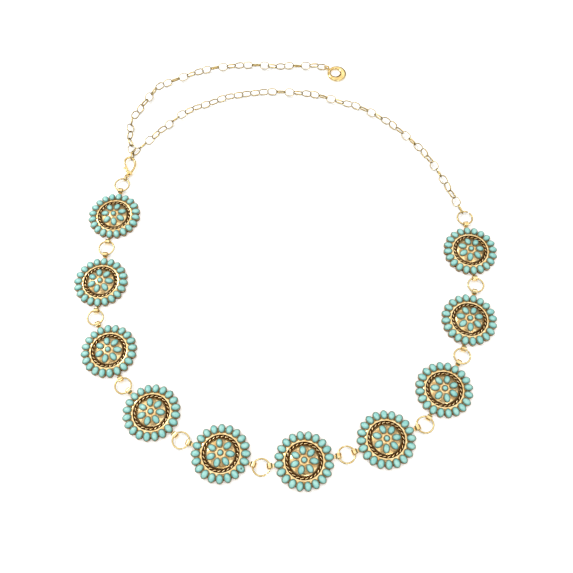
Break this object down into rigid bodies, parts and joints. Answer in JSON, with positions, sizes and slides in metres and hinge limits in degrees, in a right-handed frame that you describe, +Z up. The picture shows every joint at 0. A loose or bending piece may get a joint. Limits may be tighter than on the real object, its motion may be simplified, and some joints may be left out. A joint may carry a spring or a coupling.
{
  "type": "concho belt",
  "caption": "Open belt of round cast conchos set with oval turquoise stones, linked by jump rings and closed by a lobster clasp on a cable chain with a ring-ended tail.",
  "frame": {"origin": "middle of the belt's footprint on the surface it lies on", "axes": "+Z up off the surface, +Y from the conchos at the front towards the chain at the back, +X to the right as pictured"},
  "size_m": [0.3175, 0.3629, 0.0069],
  "materials": {
    "plate_gold": "polished gold plating, antiqued in the recesses",
    "stone_turquoise": "smooth turquoise cabochon",
    "ring_gold": "bright gold-plated wire",
    "chain_gold": "bright gold-plated wire",
    "clasp_gold": "polished gold plating"
  },
  "bodies": {
    "belt": {"concho_01_plate": "plate_gold", "concho_01_stone_ring": "stone_turquoise", "concho_01_flower": "stone_turquoise", "concho_02_plate": "plate_gold", "concho_02_stone_ring": "stone_turquoise", "concho_02_flower": "stone_turquoise", "concho_03_plate": "plate_gold", "concho_03_stone_ring": "stone_turquoise", "concho_03_flower": "stone_turquoise", "concho_04_plate": "plate_gold", "concho_04_stone_ring": "stone_turquoise", "concho_04_flower": "stone_turquoise", "concho_05_plate": "plate_gold", "concho_05_stone_ring": "stone_turquoise", "concho_05_flower": "stone_turquoise", "concho_06_plate": "plate_gold", "concho_06_stone_ring": "stone_turquoise", "concho_06_flower": "stone_turquoise", "concho_07_plate": "plate_gold", "concho_07_stone_ring": "stone_turquoise", "concho_07_flower": "stone_turquoise", "concho_08_plate": "plate_gold", "concho_08_stone_ring": "stone_turquoise", "concho_08_flower": "stone_turquoise", "concho_09_plate": "plate_gold", "concho_09_stone_ring": "stone_turquoise", "concho_09_flower": "stone_turquoise", "concho_10_plate": "plate_gold", "concho_10_stone_ring": "stone_turquoise", "concho_10_flower": "stone_turquoise", "jump_ring_01": "ring_gold", "jump_ring_02": "ring_gold", "jump_ring_03": "ring_gold", "jump_ring_04": "ring_gold", "jump_ring_05": "ring_gold", "jump_ring_06": "ring_gold", "jump_ring_07": "ring_gold", "jump_ring_08": "ring_gold", "jump_ring_09": "ring_gold", "jump_ring_10": "ring_gold", "jump_ring_11": "ring_gold", "main_chain_1": "chain_gold", "main_chain_2": "chain_gold", "main_chain_3": "chain_gold", "main_chain_4": "chain_gold", "main_chain_5": "chain_gold", "main_chain_6": "chain_gold", "tail_chain_1": "chain_gold", "tail_chain_2": "chain_gold", "tail_chain_3": "chain_gold", "tail_chain_4": "chain_gold", "hook_link": "chain_gold", "clasp_ring": "clasp_gold", "clasp_body": "clasp_gold", "end_ring": "clasp_gold"},
    "lever": {"clasp_lever": "clasp_gold"}
  },
  "joints": [
    {"name": "clasp_lever_hinge", "type": "hinge", "parent": "belt", "child": "lever", "pos_m": [-0.12445, 0.07037, 0.0023], "axis": [0, 0, -1], "range_deg": [0, 22], "stiffness_Nm_per_rad": 0.004, "springref_deg": -28.65}
  ]
}
